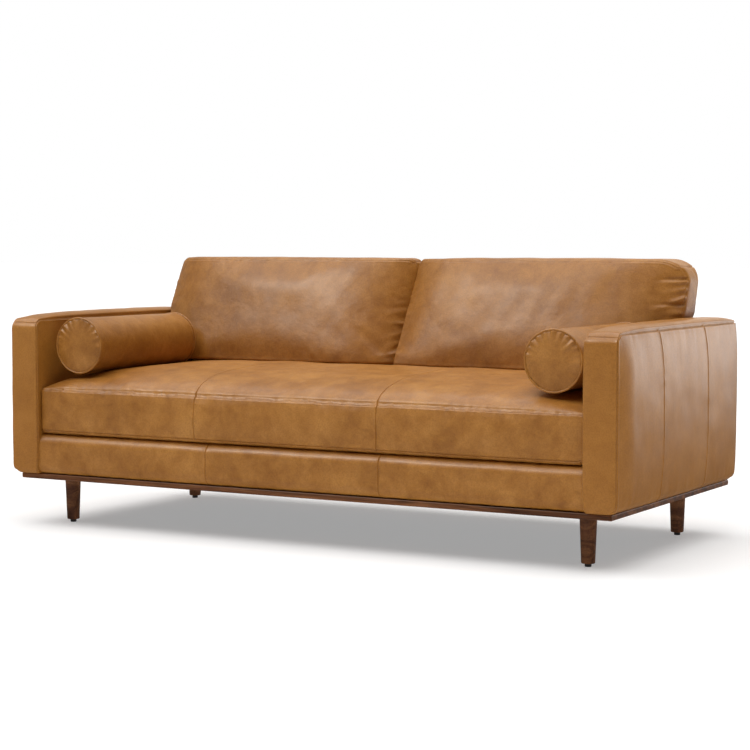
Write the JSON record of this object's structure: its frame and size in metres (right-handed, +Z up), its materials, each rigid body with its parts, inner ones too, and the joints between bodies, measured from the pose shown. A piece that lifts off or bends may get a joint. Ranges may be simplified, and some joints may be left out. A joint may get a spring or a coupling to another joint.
{
  "type": "sofa with wooden legs",
  "caption": "Box-armed leather sofa with a bench seat cushion, loose back cushions and round bolsters, on a thin walnut plinth with tapered legs.",
  "frame": {"origin": "on the floor, below the middle of the sofa", "axes": "+X along the sofa towards the right arm seen from the front, +Y from front to back, +Z up"},
  "size_m": [2.176, 1.008, 0.88],
  "materials": {
    "walnut": "satin",
    "zinc_steel": "satin",
    "black_nylon": "matte",
    "hardwood": "matte",
    "webbing": "matte",
    "black_cloth": "matte",
    "plywood": "matte",
    "foam": "matte",
    "wadding": "matte",
    "leather": "satin",
    "leather_welt": "satin"
  },
  "bodies": {
    "frame": {"plinth_front": "walnut", "plinth_rear": "walnut", "plinth_left": "walnut", "plinth_right": "walnut", "leg_front_left": "walnut", "leg_front_right": "walnut", "leg_rear_left": "walnut", "leg_rear_right": "walnut", "leg_bolt_front_left": "zinc_steel", "leg_bolt_front_right": "zinc_steel", "leg_bolt_rear_left": "zinc_steel", "leg_bolt_rear_right": "zinc_steel", "leg_plate_front_left": "zinc_steel", "leg_plate_front_right": "zinc_steel", "leg_plate_rear_left": "zinc_steel", "leg_plate_rear_right": "zinc_steel", "glide_front_left": "black_nylon", "glide_front_right": "black_nylon", "glide_rear_left": "black_nylon", "glide_rear_right": "black_nylon", "corner_block_front_left": "hardwood", "corner_block_front_right": "hardwood", "corner_block_rear_left": "hardwood", "corner_block_rear_right": "hardwood", "base_rail_front": "hardwood", "base_rail_rear": "hardwood", "cross_rail_left": "hardwood", "cross_rail_right": "hardwood", "webbing_1": "webbing", "webbing_2": "webbing", "webbing_3": "webbing", "webbing_4": "webbing", "webbing_5": "webbing", "deck_cloth": "black_cloth", "dust_cover": "black_cloth", "arm_left_panel": "plywood", "arm_right_panel": "plywood", "back_panel": "plywood", "arm_left_foam": "foam", "arm_right_foam": "foam", "back_foam": "foam", "rail_foam": "foam", "rail_cover": "leather", "arm_left_cover": "leather", "arm_right_cover": "leather", "back_cover": "leather"},
    "seat_cushion": {"seat_cushion_cover": "leather", "seat_cushion_core": "foam"},
    "back_cushion_left": {"back_cushion_left_cover": "leather", "back_cushion_left_core": "foam"},
    "back_cushion_right": {"back_cushion_right_cover": "leather", "back_cushion_right_core": "foam"},
    "bolster_left": {"bolster_left_cover": "leather", "bolster_left_core": "wadding", "bolster_left_welt_front": "leather_welt", "bolster_left_welt_rear": "leather_welt"},
    "bolster_right": {"bolster_right_cover": "leather", "bolster_right_core": "wadding", "bolster_right_welt_front": "leather_welt", "bolster_right_welt_rear": "leather_welt"}
  },
  "joints": [
    {"name": "seat_cushion_slide", "type": "slide", "parent": "frame", "child": "seat_cushion", "axis": [0, -1, 0], "range_m": [0, 0.9]},
    {"name": "back_cushion_left_lift", "type": "slide", "parent": "frame", "child": "back_cushion_left", "axis": [0, 0, 1], "range_m": [0, 0.4]},
    {"name": "back_cushion_right_lift", "type": "slide", "parent": "frame", "child": "back_cushion_right", "axis": [0, 0, 1], "range_m": [0, 0.4]},
    {"name": "bolster_left_lift", "type": "slide", "parent": "frame", "child": "bolster_left", "axis": [0, 0, 1], "range_m": [0, 0.4]},
    {"name": "bolster_right_lift", "type": "slide", "parent": "frame", "child": "bolster_right", "axis": [0, 0, 1], "range_m": [0, 0.4]}
  ]
}
